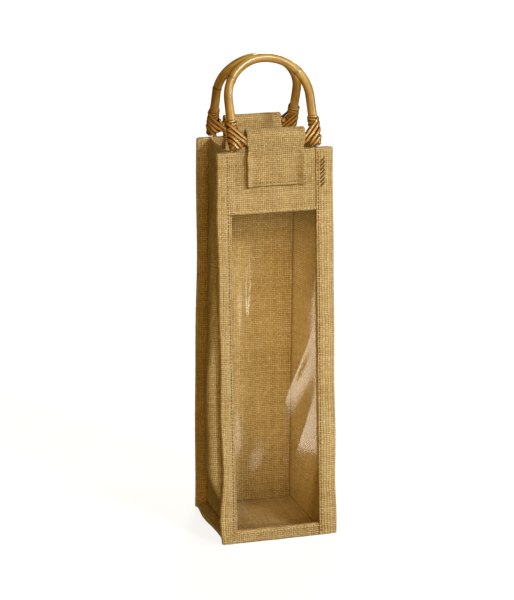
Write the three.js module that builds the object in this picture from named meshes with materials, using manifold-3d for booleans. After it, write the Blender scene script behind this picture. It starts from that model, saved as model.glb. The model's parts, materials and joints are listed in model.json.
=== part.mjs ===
// A jute gift bag for one wine bottle, in millimetres, +Z up, the origin at the middle of its base.
// A clear film window fills the front below a jute band. Two gussets join the front, the base and
// the back through seams that stand out past the bag and are bound in folded jute strips.
// Two bent-cane handles turn on crossbars that run through stitched cloth tabs.
// The front faces -Y, and the handles lean together over the mouth.
import * as THREE from "three";
import { mergeVertices } from "three/addons/utils/BufferGeometryUtils.js";
import Module from "manifold-3d";

const wasm = await Module();
wasm.setup();

// Driving dimensions
const seamWidth = 80; // between the side seams, across the front
const flangeWidth = 12; // how far each bound seam stands out past its seam line
const baseDepth = 108; // front face to back face at the base
const mouthDepth = 76; // front face to back face at the mouth
const bagHeight = 360; // base to top edge
const windowTop = 304; // lower edge of the front band
const borderHeight = 12; // jute border under the window
const windowOverlap = 8; // film sewn in behind the band and the border
const cloth = 0.9; // one layer of jute
const film = 0.3; // the window's clear sheet
const layerGap = 0.25; // between layers of a seam
const foldGap = 0.5; // between the base panel's side fold and the seam line
const webGap = 0.4; // between a binding's inner edge and the gusset's web
const cornerGap = 0.6; // between a base binding's end and the upright bindings

const tabWidth = 52;
const tabCloth = 1.4; // a tab is a folded strip, so it is thicker than one layer
const tabBottom = 329; // lower edge of the tab's outer leg
const tabInnerBottom = 338; // lower edge of its leg inside the bag
const tabFlatTop = 350; // the legs part above this height
const loopHeight = 372; // centre of the loop
const loopRadius = 6.5; // inside of the loop

const caneRadius = 4;
const barHeight = 370; // the crossbar's axis, along the slope of the panel
const legSpread = 37.5; // each handle leg's axis from the middle, and the bow's radius
const legLength = 37; // crossbar axis to the start of the bow
const legTail = 8; // leg below the crossbar's axis
const handleGap = 0.4; // between the two bows where they meet
const wrapRadius = 6; // outside of the cane binding
const wrapBall = 7.5; // its bulge round the crossing
const wrapUp = 17; // binding along the leg
const wrapAlong = 9; // binding along the crossbar
const fitGap = 0.3; // between cane, binding and tack
const tackRadius = 0.8;
const tackHead = 1.9;
const tackHeadThickness = 1;
const tackLength = 16;

// Worked out from the dimensions above
const tilt = Math.atan((baseDepth - mouthDepth) / 2 / bagHeight);
const panelTop = bagHeight / Math.cos(tilt); // panel height measured along its slope
const seamHalf = seamWidth / 2;
const flangeEdge = seamHalf + flangeWidth;
const panelHalf = flangeEdge - 2; // cut edges stop short of the binding's fold
const liftOff = 0.25; // keeps a sloping panel's lower edge above the base plane

// Depths of a seam's layers behind the outer face: binding, panel, film, gusset, binding
const panelDepth = cloth + layerGap;
const filmDepth = panelDepth + cloth + layerGap;
const gussetDepth = filmDepth + film + layerGap;
const innerDepth = gussetDepth + cloth + layerGap;
const seamThickness = innerDepth + cloth;
const barDepth = panelDepth + cloth / 2; // the crossbar lies over the panel's middle plane

// Materials
const jute = new THREE.MeshStandardMaterial({ color: 0xb89a64, roughness: 0.95 });
const binding = new THREE.MeshStandardMaterial({ color: 0xc2a46e, roughness: 0.95 });
const clear = new THREE.MeshStandardMaterial({
  color: 0xf2f2ea, roughness: 0.1, transparent: true, opacity: 0.25,
});
const cane = new THREE.MeshStandardMaterial({ color: 0xb98a45, roughness: 0.35 });
const caneStrip = new THREE.MeshStandardMaterial({ color: 0xa8742f, roughness: 0.4 });
const steel = new THREE.MeshStandardMaterial({ color: 0x9a9a98, roughness: 0.4, metalness: 1 });

// Small tools for solids

function box(x0, x1, y0, y1, z0, z1) {
  const geometry = new THREE.BoxGeometry(x1 - x0, y1 - y0, z1 - z0);
  return geometry.translate((x0 + x1) / 2, (y0 + y1) / 2, (z0 + z1) / 2);
}

// The same box on the left (side -1) or the right (side 1), from its distances to the middle.
function sideBox(side, near, far, y0, y1, z0, z1) {
  return box(Math.min(side * near, side * far), Math.max(side * near, side * far), y0, y1, z0, z1);
}

function extrude(shape, length, curveSegments = 10) {
  const geometry = new THREE.ExtrudeGeometry(shape, {
    depth: length, bevelEnabled: false, curveSegments,
  });
  return geometry.translate(0, 0, -length / 2);
}

// Turns a shape drawn in (depth, height) and extruded so that it runs across the bag.
function acrossBag(geometry) {
  const turn = new THREE.Matrix4().makeBasis(
    new THREE.Vector3(0, 1, 0), new THREE.Vector3(0, 0, 1), new THREE.Vector3(1, 0, 0),
  );
  return geometry.applyMatrix4(turn);
}

function solidFrom(geometry) {
  const plain = geometry.clone();
  plain.deleteAttribute("normal");
  plain.deleteAttribute("uv");
  const merged = mergeVertices(plain, 1e-3);
  return new wasm.Manifold(new wasm.Mesh({
    numProp: 3,
    vertProperties: new Float32Array(merged.attributes.position.array),
    triVerts: new Uint32Array(merged.index.array),
  }));
}

function geometryFrom(solid) {
  const mesh = solid.getMesh();
  const positions = new Float32Array(mesh.numVert * 3);
  for (let i = 0; i < mesh.numVert; i++) {
    const at = i * mesh.numProp;
    positions.set(mesh.vertProperties.subarray(at, at + 3), i * 3);
  }
  const geometry = new THREE.BufferGeometry();
  geometry.setAttribute("position", new THREE.BufferAttribute(positions, 3));
  geometry.setIndex(new THREE.BufferAttribute(mesh.triVerts, 1));
  const flat = geometry.toNonIndexed();
  flat.computeVertexNormals();
  return flat;
}

function joinCut(joined, cuts = []) {
  let solid = solidFrom(joined[0]);
  for (const extra of joined.slice(1)) solid = solid.add(solidFrom(extra));
  for (const cut of cuts) solid = solid.subtract(solidFrom(cut));
  return geometryFrom(solid);
}

function piece(name, geometry, material) {
  const mesh = new THREE.Mesh(geometry, material);
  mesh.name = name;
  return mesh;
}

// A panel's own frame: x across, y from the outer face into the bag, z up its slope.
function faceFrame(side) {
  const lean = new THREE.Group();
  lean.position.y = -baseDepth / 2;
  lean.rotation.x = -tilt;
  const frame = new THREE.Group();
  frame.rotation.z = side === "front" ? 0 : Math.PI;
  frame.add(lean);
  frame.updateMatrixWorld(true);
  return { frame, lean };
}

// Half the bag's depth at a height, to a layer that lies this far behind the outer face.
function halfDepth(z, depth) {
  return baseDepth / 2 - depth / Math.cos(tilt) - z * Math.tan(tilt);
}

// Cloth and film

function frontBand() {
  return box(-panelHalf, panelHalf, panelDepth, panelDepth + cloth, windowTop, panelTop);
}

function windowFilm() {
  const half = seamHalf + flangeWidth / 2;
  return box(-half, half, filmDepth, filmDepth + film,
    borderHeight - windowOverlap, windowTop + windowOverlap);
}

function bottomBorder() {
  return box(-panelHalf, panelHalf, panelDepth, panelDepth + cloth, liftOff, borderHeight);
}

function backPanel() {
  return box(-panelHalf, panelHalf, panelDepth, panelDepth + cloth, liftOff, panelTop);
}

// The base rests on its middle. Its side margins step up one layer, into the bound seams.
function basePanel() {
  const step = seamHalf - foldGap;
  const flat = step - cloth;
  const low = panelDepth;
  const high = panelDepth + cloth;
  const profile = new THREE.Shape([
    new THREE.Vector2(-step, 0), new THREE.Vector2(step, 0),
    new THREE.Vector2(step, low), new THREE.Vector2(panelHalf, low),
    new THREE.Vector2(panelHalf, high), new THREE.Vector2(flat, high),
    new THREE.Vector2(flat, cloth), new THREE.Vector2(-flat, cloth),
    new THREE.Vector2(-flat, high), new THREE.Vector2(-panelHalf, high),
    new THREE.Vector2(-panelHalf, low), new THREE.Vector2(-step, low),
  ]);
  const depth = baseDepth - 2 * (filmDepth + layerGap);
  return extrude(profile, depth).rotateX(Math.PI / 2);
}

// A gusset is a tapering web with its seam allowances turned out on three edges.
function gusset(side) {
  const inset = cloth / 2; // the web ends in the middle of the turned-out edges
  const low = gussetDepth;
  const top = bagHeight - liftOff;
  const webLow = low + inset;
  const webTop = top - inset;
  const outer = (z) => halfDepth(z, gussetDepth);
  const middle = (z) => halfDepth(z, gussetDepth + inset);
  const inner = (z) => halfDepth(z, gussetDepth + cloth);
  const edges = new THREE.Shape([
    new THREE.Vector2(-outer(low), low), new THREE.Vector2(outer(low), low),
    new THREE.Vector2(outer(top), top), new THREE.Vector2(inner(top), top),
    new THREE.Vector2(inner(low + cloth), low + cloth),
    new THREE.Vector2(-inner(low + cloth), low + cloth),
    new THREE.Vector2(-inner(top), top), new THREE.Vector2(-outer(top), top),
  ]);
  const web = new THREE.Shape([
    new THREE.Vector2(-middle(webLow), webLow), new THREE.Vector2(middle(webLow), webLow),
    new THREE.Vector2(middle(webTop), webTop), new THREE.Vector2(-middle(webTop), webTop),
  ]);
  const edgeStart = seamHalf + inset;
  const edgeMiddle = side * (edgeStart + panelHalf) / 2;
  return joinCut([
    acrossBag(extrude(web, cloth)).translate(side * (seamHalf + inset), 0, 0),
    acrossBag(extrude(edges, panelHalf - edgeStart)).translate(edgeMiddle, 0, 0),
  ]);
}

// A binding is a strip folded over the seam's edge. Drawn in (across, depth), open towards the bag.
function bindingProfile(side) {
  const outer = seamThickness / 2;
  const inner = outer - cloth;
  const fold = side * (flangeEdge - outer);
  const openOuter = side * seamHalf;
  const openInner = side * (seamHalf + cloth + webGap);
  const profile = new THREE.Shape();
  const turn = side > 0 ? Math.PI / 2 : -Math.PI / 2;
  profile.moveTo(openOuter, 0);
  profile.lineTo(fold, 0);
  profile.absarc(fold, outer, outer, -Math.PI / 2, -Math.PI / 2 + 2 * turn, side < 0);
  profile.lineTo(openInner, seamThickness);
  profile.lineTo(openInner, seamThickness - cloth);
  profile.lineTo(fold, seamThickness - cloth);
  profile.absarc(fold, outer, inner, -Math.PI / 2 + 2 * turn, -Math.PI / 2, side > 0);
  profile.lineTo(openOuter, cloth);
  return profile;
}

function uprightBinding(side) {
  const length = panelTop - liftOff;
  const strip = extrude(bindingProfile(side), length, 6).translate(0, 0, liftOff + length / 2);
  // The base's bound seam runs into this notch at the foot of the inner leg.
  const corner = sideBox(side, seamHalf - 1, panelHalf + webGap, gussetDepth + fitGap,
    seamThickness + 1, -1, seamThickness + foldGap);
  return joinCut([strip], [corner]);
}

function baseBinding(side) {
  const length = baseDepth - 2 * (seamThickness + cornerGap);
  return extrude(bindingProfile(side), length, 6).rotateX(Math.PI / 2);
}

// A tab is a folded strip that loops over the crossbar, one leg on each side of the panel.
function tab() {
  const outerFace = panelDepth - layerGap - tabCloth;
  const innerFace = panelDepth + cloth + layerGap;
  const profile = new THREE.Shape();
  profile.moveTo(outerFace, tabBottom);
  profile.lineTo(outerFace, tabFlatTop);
  profile.lineTo(barDepth - loopRadius - tabCloth, loopHeight);
  profile.absarc(barDepth, loopHeight, loopRadius + tabCloth, Math.PI, 0, true);
  profile.lineTo(innerFace + tabCloth, tabFlatTop);
  profile.lineTo(innerFace + tabCloth, tabInnerBottom);
  profile.lineTo(innerFace, tabInnerBottom);
  profile.lineTo(innerFace, tabFlatTop);
  profile.lineTo(barDepth + loopRadius, loopHeight);
  profile.absarc(barDepth, loopHeight, loopRadius, 0, Math.PI, false);
  profile.lineTo(outerFace + tabCloth, tabFlatTop);
  profile.lineTo(outerFace + tabCloth, tabBottom);
  return acrossBag(extrude(profile, tabWidth, 12));
}

// Handles, in a frame with its origin on the crossbar's axis, z up the legs and x across

// The bow's centreline: up one leg, half round, and down the other.
class BowCurve extends THREE.Curve {
  getPoint(t, target = new THREE.Vector3()) {
    const leg = legLength + legTail;
    const arc = Math.PI * legSpread;
    const along = t * (2 * leg + arc);
    if (along < leg) return target.set(-legSpread, 0, along - legTail);
    if (along > leg + arc) return target.set(legSpread, 0, legLength - (along - leg - arc));
    const angle = Math.PI - (along - leg) / legSpread;
    return target.set(legSpread * Math.cos(angle), 0, legLength + legSpread * Math.sin(angle));
  }
}

function rod(radius, sides = 12) {
  const section = new THREE.Shape();
  section.absarc(0, 0, radius, 0, 2 * Math.PI, false);
  return new THREE.ExtrudeGeometry(section, {
    extrudePath: new BowCurve(), steps: 44, curveSegments: sides, bevelEnabled: false,
  });
}

function crossRod(radius, length, x = 0, sides = 16) {
  return new THREE.CylinderGeometry(radius, radius, length, sides)
    .rotateZ(Math.PI / 2).translate(x, 0, 0);
}

// A tack runs from outside a leg, through it and into the crossbar's end.
function tack(side, slack = 0) {
  const headThickness = tackHeadThickness + 2 * slack;
  const headMiddle = legSpread + caneRadius + 0.2 + tackHeadThickness / 2;
  const shankLength = tackLength + slack;
  const shank = crossRod(tackRadius + slack, shankLength, side * (headMiddle - shankLength / 2), 10);
  const head = crossRod(tackHead + slack, headThickness, side * headMiddle, 14);
  return joinCut([shank, head]);
}

function bow() {
  return joinCut([rod(caneRadius)], [tack(-1, fitGap), tack(1, fitGap)]);
}

function crossbar() {
  const legs = [-1, 1].map((side) => new THREE.CylinderGeometry(
    caneRadius + fitGap, caneRadius + fitGap, 6 * caneRadius, 20,
  ).rotateX(Math.PI / 2).translate(side * legSpread, 0, 0));
  return joinCut([crossRod(caneRadius, 2 * legSpread)], [...legs, tack(-1, fitGap), tack(1, fitGap)]);
}

// Cane strip wound round the leg's foot, the crossbar's end and the crossing between them.
function wrap(side) {
  const upLeg = new THREE.CylinderGeometry(wrapRadius, wrapRadius, wrapUp + legTail - 1, 14)
    .rotateX(Math.PI / 2).translate(side * legSpread, 0, (wrapUp - legTail + 1) / 2);
  const alongBar = crossRod(wrapRadius, wrapAlong, side * (legSpread - wrapAlong / 2), 14);
  const ball = new THREE.SphereGeometry(wrapBall, 14, 10).translate(side * legSpread, 0, 0);
  const core = [rod(caneRadius + fitGap), crossRod(caneRadius + fitGap, 2 * legSpread)];
  return joinCut([upLeg, alongBar, ball], [...core, tack(side, fitGap)]);
}

function handle(name) {
  const group = new THREE.Group();
  group.add(piece(`${name}_handle_bow`, bow(), cane));
  group.add(piece(`${name}_handle_crossbar`, crossbar(), cane));
  for (const [word, side] of [["left", -1], ["right", 1]]) {
    group.add(piece(`${name}_handle_wrap_${word}`, wrap(side), caneStrip));
    group.add(piece(`${name}_handle_tack_${word}`, tack(side), steel));
  }
  return group;
}

// The handle's crossbar sits over the panel's top edge, and its bow leans in to meet the other one.
function placeHandle(group, lean) {
  const axis = new THREE.Vector3(0, barDepth, barHeight).applyMatrix4(lean.matrix);
  const reach = -axis.y - caneRadius - handleGap / 2;
  group.position.copy(axis);
  group.rotation.x = -Math.asin(reach / (legLength + legSpread));
  return group;
}

// Assembly

const bag = new THREE.Group();
const front = faceFrame("front");
const back = faceFrame("back");
const sides = [["left", -1], ["right", 1]];

front.lean.add(piece("front_top_band", frontBand(), jute));
front.lean.add(piece("window_film", windowFilm(), clear));
front.lean.add(piece("front_bottom_border", bottomBorder(), jute));
back.lean.add(piece("back_panel", backPanel(), jute));
bag.add(piece("base_panel", basePanel(), jute));

for (const [word, side] of sides) {
  bag.add(piece(`${word}_gusset`, gusset(side), jute));
  bag.add(piece(`${word}_base_binding`, baseBinding(side), binding));
  front.lean.add(piece(`${word}_front_binding`, uprightBinding(side), binding));
  back.lean.add(piece(`${word}_back_binding`, uprightBinding(-side), binding));
}

for (const [word, face] of [["front", front], ["back", back]]) {
  face.lean.add(piece(`${word}_tab`, tab(), jute));
  face.frame.add(placeHandle(handle(word), face.lean));
  bag.add(face.frame);
}

export default bag;
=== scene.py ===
"""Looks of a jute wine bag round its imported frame: cloth, clear film, bent cane, cane wraps and thread.

Every length is in metres, in the frame's axes: the window faces -Y, +X is its right and +Z is up.
A place on the front or back of the bag is given as (face, x, depth, height): face is 1 for the front
and -1 for the back, depth is measured into the bag from the outer face, height up the panel's slope.
"""
import json
import math

import bpy
import numpy as np
from mathutils import Matrix, Vector


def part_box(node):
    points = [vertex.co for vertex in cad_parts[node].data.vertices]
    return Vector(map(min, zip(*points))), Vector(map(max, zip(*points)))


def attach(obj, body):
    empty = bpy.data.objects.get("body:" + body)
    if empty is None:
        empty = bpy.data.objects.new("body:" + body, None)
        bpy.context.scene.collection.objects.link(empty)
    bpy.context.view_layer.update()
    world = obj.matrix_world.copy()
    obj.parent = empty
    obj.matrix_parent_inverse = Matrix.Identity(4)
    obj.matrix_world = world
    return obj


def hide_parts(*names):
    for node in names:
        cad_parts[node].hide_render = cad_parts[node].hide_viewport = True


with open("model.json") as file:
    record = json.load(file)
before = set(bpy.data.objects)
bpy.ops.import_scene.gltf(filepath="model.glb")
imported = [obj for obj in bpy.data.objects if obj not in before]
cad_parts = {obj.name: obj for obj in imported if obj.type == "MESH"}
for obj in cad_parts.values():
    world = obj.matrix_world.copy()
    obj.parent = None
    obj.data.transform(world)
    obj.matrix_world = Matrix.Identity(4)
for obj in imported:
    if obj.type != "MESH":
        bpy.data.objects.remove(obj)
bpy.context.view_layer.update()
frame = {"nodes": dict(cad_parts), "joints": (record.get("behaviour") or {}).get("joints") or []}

FRONT, BACK = 1, -1
LEFT, RIGHT = -1, 1
SIDE_NAMES = {LEFT: "left", RIGHT: "right"}
FACE_NAMES = {FRONT: "front", BACK: "back"}
MM = 0.001

# ---------------- sizes, from the frame

binding_low, binding_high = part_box("left_front_binding")
SEAM_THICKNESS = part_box("left_base_binding")[1].z
BAG_HEIGHT = binding_high.z
HALF_BASE = -binding_low.y
SEAM_X = -binding_high.x
EDGE_X = -binding_low.x
FLANGE = EDGE_X - SEAM_X
SLOPE = (binding_high.y - binding_low.y - SEAM_THICKNESS) / BAG_HEIGHT
TILT = math.atan(SLOPE)
PANEL_TOP = BAG_HEIGHT / math.cos(TILT)
WINDOW_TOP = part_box("front_top_band")[0].z
BORDER_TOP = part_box("front_bottom_border")[1].z
TAB_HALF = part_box("front_tab")[1].x
TAB_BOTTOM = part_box("front_tab")[0].z
TAB_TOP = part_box("front_tab")[1].z
BOW_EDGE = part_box("front_handle_bow")[1].x
BOW_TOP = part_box("front_handle_bow")[1].z
PIVOTS = {FRONT if joint["pos_m"][1] < 0 else BACK: Vector(joint["pos_m"]) for joint in frame["joints"]}
PIVOT_Y, PIVOT_Z = PIVOTS[FRONT][1:]

# ---------------- sizes of the soft pieces

CLOTH = 0.9 * MM  # one layer of jute
TAB_CLOTH = 1.35 * MM  # a tab is a folded strip
FILM = 0.2 * MM
PANEL_DEPTH = 1.6 * MM  # middle of a panel's cloth behind the outer face
FILM_DEPTH = 3.2 * MM
GUSSET_DEPTH = 3.3 * MM
HEM_GAP = 1.15 * MM  # between the middles of a hem's two layers
MOUTH_HEM = 14 * MM  # cloth turned in at the mouth
WINDOW_HEM = 8 * MM  # cloth turned in at the window, and film sewn in behind it
PANEL_FOOT = 0.6 * MM  # lower edge of the front and the back
LIFT = 0.02 * MM  # between the lowest cloth and the floor
PANEL_HALF = EDGE_X - 2 * MM

STITCH = 3.2 * MM  # from one needle hole to the next
THREAD = 0.34 * MM  # thread radius
THICK_THREAD = THREAD * 1.9
STITCH_LINE = 1.7 * MM  # seam stitches, out from the seam
STITCH_START = 3 * MM  # from a seam's ends to its first needle hole

FRONT_SPLAY = 1.9 * MM  # how much further the front seams' edges stand out
FRONT_DRIFT = 2.4 * MM  # how far left of their seam lines the front bindings are sewn
LEFT_FOLD = 21.3 * MM  # how far out the left gusset's fold stands where it is fullest
# It falls towards the mouth: by how much, from which height and to which
LEFT_FOLD_FALLS = [
    (4.3 * MM, 0.14, 0.2), (4 * MM, 0.2, 0.27), (5 * MM, 0.26, 0.33), (6 * MM, 0.32, BAG_HEIGHT),
]
RIGHT_FOLD = 10 * MM

CANE_R = 4 * MM
LEG_X = BOW_EDGE - CANE_R
LEG_TAIL = 8 * MM
BOW_GAP = 0.4 * MM  # between the two bows where they meet
# From the crossbar's axis to the middle of the bow's highest point
BOW_LEAN = -PIVOT_Y - CANE_R - BOW_GAP / 2
BOW_REACH = math.hypot(BOW_LEAN, BOW_TOP - CANE_R - PIVOT_Z)
LEG_LENGTH = BOW_REACH - LEG_X


# ---------------- numbers and shapes

def smooth(low, high, value):
    t = np.clip((value - low) / (high - low), 0, 1)
    return t * t * (3 - 2 * t)


def bell(value, middle, width):
    return np.exp(-((value - middle) / width) ** 2)


def waves(seed, u, v, size_u, size_v, count=7):
    """A smooth random field of about unit height, from a few sine waves of random direction."""
    rng = np.random.default_rng(seed)
    total = np.zeros(np.broadcast(u, v).shape)
    for _ in range(count):
        stretch_u, stretch_v = rng.uniform(0.6, 1.7, 2)
        tilt, phase = rng.uniform(-1, 1), rng.uniform(0, 2 * math.pi)
        angle = u / (size_u * stretch_u) + tilt * v / (size_v * stretch_v)
        total = total + np.sin(2 * math.pi * angle + phase)
    return total / math.sqrt(count)


def on_face(face, x, depth, height):
    """World points for places on the front or the back."""
    x, depth, height = np.broadcast_arrays(x, depth, height)
    y = depth * math.cos(TILT) + height * math.sin(TILT) - HALF_BASE
    z = height * math.cos(TILT) - depth * math.sin(TILT)
    return np.stack([x, face * y, z], -1)


def half_depth(z, depth):
    """Half the bag's depth at a height, to a layer this far behind its outer faces."""
    return HALF_BASE - depth / math.cos(TILT) - z * SLOPE


def spread(start, end, step):
    """Evenly spaced values from start to end, about a step apart."""
    return np.linspace(start, end, max(2, round(abs(end - start) / step) + 1))


def arc(middle, radius, start, end, count=7):
    """Points of an arc in a plane, angles in degrees."""
    angle = np.radians(np.linspace(start, end, count))
    return np.stack([middle[0] + radius * np.cos(angle), middle[1] + radius * np.sin(angle)], -1)


def distances(path):
    """How far along a path each of its points is."""
    return np.concatenate([[0], np.cumsum(np.linalg.norm(np.diff(path, axis=0), axis=1))])


def resample(path, step):
    """A polyline's points again, evenly spaced along it, and how far along each is."""
    along = distances(path)
    at = spread(0, along[-1], step)
    return np.stack([np.interp(at, along, path[:, k]) for k in range(path.shape[1])], -1), at


def grid(u, v):
    return np.meshgrid(u, v, indexing="ij")


def unit(vectors):
    return vectors / np.maximum(np.linalg.norm(vectors, axis=-1, keepdims=True), 1e-12)


# ---------------- meshes

def add_object(name, data):
    thing = bpy.data.objects.new(name, data)
    bpy.context.scene.collection.objects.link(thing)
    return thing


def add_mesh(name, vertices, faces, uv, material, body):
    """A smooth-shaded piece. uv is one pair for each vertex."""
    mesh = bpy.data.meshes.new(name)
    mesh.from_pydata(vertices.tolist(), [], [list(map(int, f)) for f in faces])
    mesh.polygons.foreach_set("use_smooth", [True] * len(mesh.polygons))
    loops = np.zeros(len(mesh.loops), np.int32)
    mesh.loops.foreach_get("vertex_index", loops)
    layer = mesh.uv_layers.new(name="Weave")
    layer.data.foreach_set("uv", np.asarray(uv, np.float32)[loops].ravel())
    mesh.materials.append(material)
    mesh.validate()
    mesh.update()
    piece = add_object(name, mesh)
    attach(piece, body)
    return piece


def quads(index, flip=False):
    """Faces over a grid of vertex numbers."""
    a, b, c, d = index[:-1, :-1], index[1:, :-1], index[1:, 1:], index[:-1, 1:]
    order = (d, c, b, a) if flip else (a, b, c, d)
    return np.stack([k.ravel() for k in order], -1)


def sheet_solid(points, uv, thickness):
    """A sheet's grid made into a closed solid with rounded edges: vertices, faces and uvs."""
    rows, columns = points.shape[:2]
    half = thickness / 2
    normal = unit(np.cross(np.gradient(points, axis=0), np.gradient(points, axis=1)))
    top = points + normal * half
    bottom = points - normal * half
    count = rows * columns
    index = np.arange(count).reshape(rows, columns)
    ring = np.concatenate([index[:-1, 0], index[-1, :-1], index[:0:-1, -1], index[0, :0:-1]])
    inward = np.zeros_like(points)  # from each edge towards the sheet's middle
    inward[0] += points[1] - points[0]
    inward[-1] += points[-2] - points[-1]
    inward[:, 0] += points[:, 1] - points[:, 0]
    inward[:, -1] += points[:, -2] - points[:, -1]
    flat = points.reshape(-1, 3)
    rim = flat[ring] - unit(inward.reshape(-1, 3)[ring]) * half
    vertices = np.concatenate([top.reshape(-1, 3), bottom.reshape(-1, 3), rim])
    following = np.roll(ring, -1)
    rim_index = 2 * count + np.arange(len(ring))
    rim_next = np.roll(rim_index, -1)
    faces = np.concatenate([
        quads(index),
        quads(index + count, flip=True),
        np.stack([ring, rim_index, rim_next, following], -1),
        np.stack([ring + count, rim_index, rim_next, following + count], -1)[:, ::-1],
    ])
    flat_uv = uv.reshape(-1, 2)
    return vertices, faces, np.concatenate([flat_uv, flat_uv, flat_uv[ring]])


def stand_for(node):
    """The piece takes a CAD node's place: the node is hidden."""
    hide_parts(node)


def add_sheet(name, node, slot, points, uv, thickness=CLOTH, flip=False):
    """A sheet on the bag in a CAD node's place, from a grid of points over its middle."""
    if flip:
        points, uv = points[::-1], uv[::-1]
    piece = add_mesh(name, *sheet_solid(points, uv, thickness), MATERIALS[slot], "bag")
    stand_for(node)


def strip_grid(half_width, step, path, along):
    """Grids over a strip that follows a (depth, height) path: x, depth, height and length along it."""
    x, depth = grid(spread(-half_width, half_width, step), path[:, 0])
    return x, depth, np.broadcast_to(path[:, 1], x.shape), np.broadcast_to(along, x.shape)


def tube(path, radii, sides, normal_hint):
    """A closed tube along a path: vertices, faces, and (round, along) for each vertex."""
    tangent = unit(np.gradient(path, axis=0))
    side = unit(np.cross(tangent, normal_hint))
    up = np.cross(side, tangent)
    angle = np.linspace(0, 2 * math.pi, sides, endpoint=False)
    ring = np.cos(angle)[None, :, None] * side[:, None] + np.sin(angle)[None, :, None] * up[:, None]
    body = path[:, None] + ring * radii[:, None, None]
    vertices = np.concatenate([body.reshape(-1, 3), path[:1], path[-1:]])
    rows = len(path)
    index = np.pad(np.arange(rows * sides).reshape(rows, sides), ((0, 0), (0, 1)), "wrap")
    faces = quads(index).tolist()
    first, last = rows * sides, rows * sides + 1
    for k in range(sides):
        faces.append([first, index[0, k + 1], index[0, k]])
        faces.append([last, index[-1, k], index[-1, k + 1]])
    length = distances(path)
    around = np.tile(angle / (2 * math.pi), rows)
    along = np.repeat(length, sides)
    uv = np.stack([np.append(around, [0, 0]), np.append(along, [0, length[-1]])], -1)
    return vertices, faces, uv


def merge(parts):
    """Several (vertices, faces, uv) as one."""
    vertices, faces, uvs, start = [], [], [], 0
    for part_vertices, part_faces, part_uv in parts:
        vertices.append(part_vertices)
        faces.extend([[i + start for i in face] for face in part_faces])
        uvs.append(part_uv)
        start += len(part_vertices)
    return np.concatenate(vertices), faces, np.concatenate(uvs)


# ---------------- materials

class Nodes:
    """Builds a node material one call at a time."""

    def __init__(self, name):
        self.material = bpy.data.materials.new(name)
        self.material.use_nodes = True
        self.tree = self.material.node_tree
        self.tree.nodes.clear()
        self.output = self.add("ShaderNodeOutputMaterial")

    def add(self, kind, settings=None, **inputs):
        node = self.tree.nodes.new(kind)
        for key, value in (settings or {}).items():
            setattr(node, key, value)
        for key, value in inputs.items():
            self.set(node.inputs[key.replace("_", " ")], value)
        return node

    def set(self, socket, value):
        if isinstance(value, bpy.types.NodeSocket):
            self.tree.links.new(value, socket)
        else:
            socket.default_value = value

    def fill(self, node, *values):
        """Sets a node's first inputs and gives its first output."""
        for socket, value in zip(node.inputs, values):
            self.set(socket, value)
        return node.outputs[0]

    def math(self, operation, *values):
        return self.fill(self.add("ShaderNodeMath", {"operation": operation}), *values)

    def range(self, value, low, high, out_low=0.0, out_high=1.0):
        node = self.add("ShaderNodeMapRange", {"interpolation_type": "SMOOTHSTEP"})
        return self.fill(node, value, low, high, out_low, out_high)

    def noise(self, vector, scale, detail=2.0, roughness=0.5):
        node = self.add("ShaderNodeTexNoise", Vector=vector, Scale=scale, Detail=detail)
        self.set(node.inputs["Roughness"], roughness)
        return node.outputs["Fac"]

    def random(self, x, y):
        at = self.combine(x, y, 0.0)
        node = self.add("ShaderNodeTexWhiteNoise", {"noise_dimensions": "2D"}, Vector=at)
        return node.outputs["Value"]

    def combine(self, x, y, z):
        return self.fill(self.add("ShaderNodeCombineXYZ"), x, y, z)

    def mix(self, factor, first, second, blend="MIX"):
        node = self.add("ShaderNodeMix", {"data_type": "RGBA", "blend_type": blend})
        self.set(node.inputs[0], factor)
        self.set(node.inputs[6], first)
        self.set(node.inputs[7], second)
        return node.outputs[2]

    def ramp(self, value, stops):
        node = self.add("ShaderNodeValToRGB", Fac=value)
        elements = node.color_ramp.elements
        while len(elements) < len(stops):
            elements.new(0.5)
        for element, (position, colour) in zip(elements, stops):
            element.position = position
            element.color = (*colour, 1)
        return node.outputs["Color"]

    def bump(self, height, distance, strength):
        node = self.add("ShaderNodeBump", Height=height, Distance=distance, Strength=strength)
        return node.outputs["Normal"]

    def weigh(self, *shares):
        """The sum of values, each times its weight."""
        total = 0.0
        for value, weight in shares:
            total = self.math("MULTIPLY_ADD", value, weight, total)
        return total

    def stretched_noise(self, x, scale_x, y, scale_y, place, detail=2.0, roughness=0.5):
        """Noise that is drawn out differently along x and y. Each use has its own place in it."""
        at = self.combine(self.math("MULTIPLY", x, scale_x), self.math("MULTIPLY", y, scale_y), place)
        return self.noise(at, 1.0, detail, roughness)

    def uv(self):
        node = self.add("ShaderNodeUVMap", {"uv_map": "Weave"})
        split = self.add("ShaderNodeSeparateXYZ", Vector=node.outputs[0])
        return node.outputs[0], split.outputs[0], split.outputs[1]

    def place(self):
        return self.add("ShaderNodeTexCoord").outputs["Object"]

    def finish(self, shader):
        self.tree.links.new(shader.outputs[0], self.output.inputs["Surface"])
        return self.material

    def finish_principled(self, **inputs):
        return self.finish(self.add("ShaderNodeBsdfPrincipled", **inputs))

    def finish_mixed(self, share, first, second):
        both = self.add("ShaderNodeMixShader", Fac=share)
        self.set(both.inputs[1], first.outputs[0])
        self.set(both.inputs[2], second.outputs[0])
        return self.finish(both)


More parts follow.
